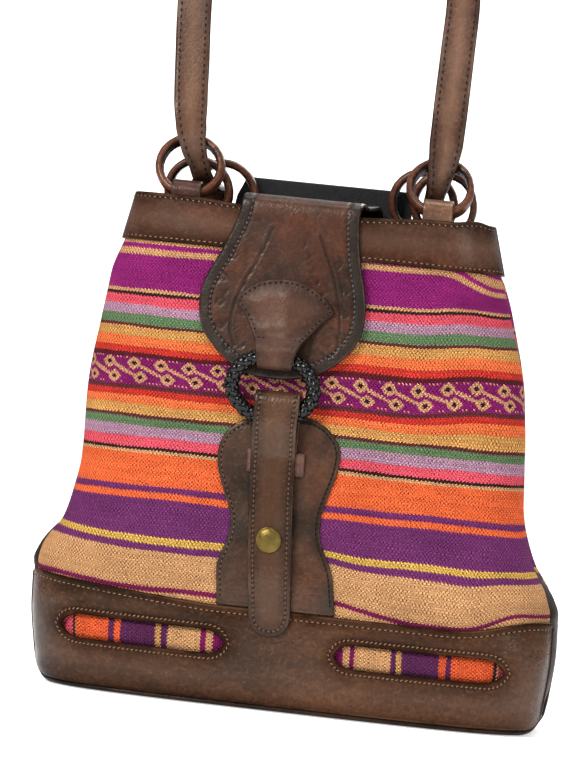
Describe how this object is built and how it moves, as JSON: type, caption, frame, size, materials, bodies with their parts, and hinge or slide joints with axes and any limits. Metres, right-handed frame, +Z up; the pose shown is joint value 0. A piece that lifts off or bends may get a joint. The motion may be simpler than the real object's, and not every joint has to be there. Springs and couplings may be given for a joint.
{
  "type": "striped cloth and leather backpack bag",
  "caption": "Flat-bottomed shoulder and backpack bag of striped woven cloth with leather base, mouth band, flap, braided ring closure, carry rings and one long strap.",
  "frame": {"origin": "centre of the bounding box in plan, on the underside of the flat bottom", "axes": "+Z up, front face with the flap towards -Y, +X to the right when the front is looked at"},
  "size_m": [0.3156, 0.1311, 0.5125],
  "materials": {
    "striped_cloth": "coarse woven stripes, matt",
    "brown_leather": "satin, worn",
    "tooled_leather": "tooled relief, satin",
    "red_brown_leather": "satin",
    "dark_leather": "satin",
    "black_leather": "braided, glossy",
    "copper_leather": "satin, metallic wax sheen",
    "black_webbing": "coarse webbing",
    "lining_cloth": "plain matt cloth",
    "base_board": "matt board",
    "aged_brass": "antiqued"
  },
  "bodies": {
    "bag": {"front_cloth_panel": "striped_cloth", "back_cloth_panel": "striped_cloth", "left_side_gusset": "dark_leather", "right_side_gusset": "dark_leather", "bottom_panel": "dark_leather", "bottom_board": "base_board", "lining": "lining_cloth", "front_base_band": "brown_leather", "back_base_band": "brown_leather", "left_window_cloth": "striped_cloth", "right_window_cloth": "striped_cloth", "front_piping": "black_leather", "back_piping": "black_leather", "front_mouth_band": "brown_leather", "back_mouth_band": "brown_leather", "mouth_webbing": "black_webbing", "flap": "tooled_leather", "ring_tab": "red_brown_leather", "closure_ring": "black_leather", "hourglass_patch": "red_brown_leather", "closure_strap": "brown_leather", "strap_keeper": "red_brown_leather", "snap_socket": "aged_brass", "snap_cap": "aged_brass", "front_left_loop": "red_brown_leather", "front_right_loop": "red_brown_leather", "rear_left_outer_loop": "red_brown_leather", "rear_left_inner_loop": "red_brown_leather", "rear_right_outer_loop": "red_brown_leather", "rear_right_inner_loop": "red_brown_leather", "shoulder_strap": "brown_leather", "left_strap_rivet": "aged_brass", "right_strap_rivet": "aged_brass"},
    "front_left_ring_body": {"front_left_ring": "copper_leather"},
    "front_right_ring_body": {"front_right_ring": "copper_leather"},
    "rear_left_outer_ring_body": {"rear_left_outer_ring": "copper_leather"},
    "rear_left_inner_ring_body": {"rear_left_inner_ring": "copper_leather"},
    "rear_right_outer_ring_body": {"rear_right_outer_ring": "copper_leather"},
    "rear_right_inner_ring_body": {"rear_right_inner_ring": "copper_leather"}
  },
  "joints": [
    {"name": "front_left_ring_swing", "type": "hinge", "parent": "bag", "child": "front_left_ring_body", "pos_m": [-0.08865, -0.01865, 0.3], "axis": [1, 0, 0], "range_deg": [-12, 1]},
    {"name": "front_right_ring_swing", "type": "hinge", "parent": "bag", "child": "front_right_ring_body", "pos_m": [0.06272, -0.01865, 0.303], "axis": [1, 0, 0], "range_deg": [-8, 0]},
    {"name": "rear_left_outer_ring_swing", "type": "hinge", "parent": "bag", "child": "rear_left_outer_ring_body", "pos_m": [-0.08598, 0.01445, 0.2852], "axis": [1, 0, 0], "range_deg": [-5, 10]},
    {"name": "rear_left_inner_ring_swing", "type": "hinge", "parent": "bag", "child": "rear_left_inner_ring_body", "pos_m": [-0.07198, 0.02555, 0.2852], "axis": [1, 0, 0], "range_deg": [-5, 10]},
    {"name": "rear_right_outer_ring_swing", "type": "hinge", "parent": "bag", "child": "rear_right_outer_ring_body", "pos_m": [0.06375, 0.01445, 0.2912], "axis": [1, 0, 0], "range_deg": [-5, 4]},
    {"name": "rear_right_inner_ring_swing", "type": "hinge", "parent": "bag", "child": "rear_right_inner_ring_body", "pos_m": [0.04975, 0.02555, 0.2912], "axis": [1, 0, 0], "range_deg": [-5, 4]}
  ],
  "couplings": [
    {"joint": "rear_left_inner_ring_swing", "follows": "rear_left_outer_ring_swing", "ratio": 1},
    {"joint": "rear_right_inner_ring_swing", "follows": "rear_right_outer_ring_swing", "ratio": 1}
  ]
}
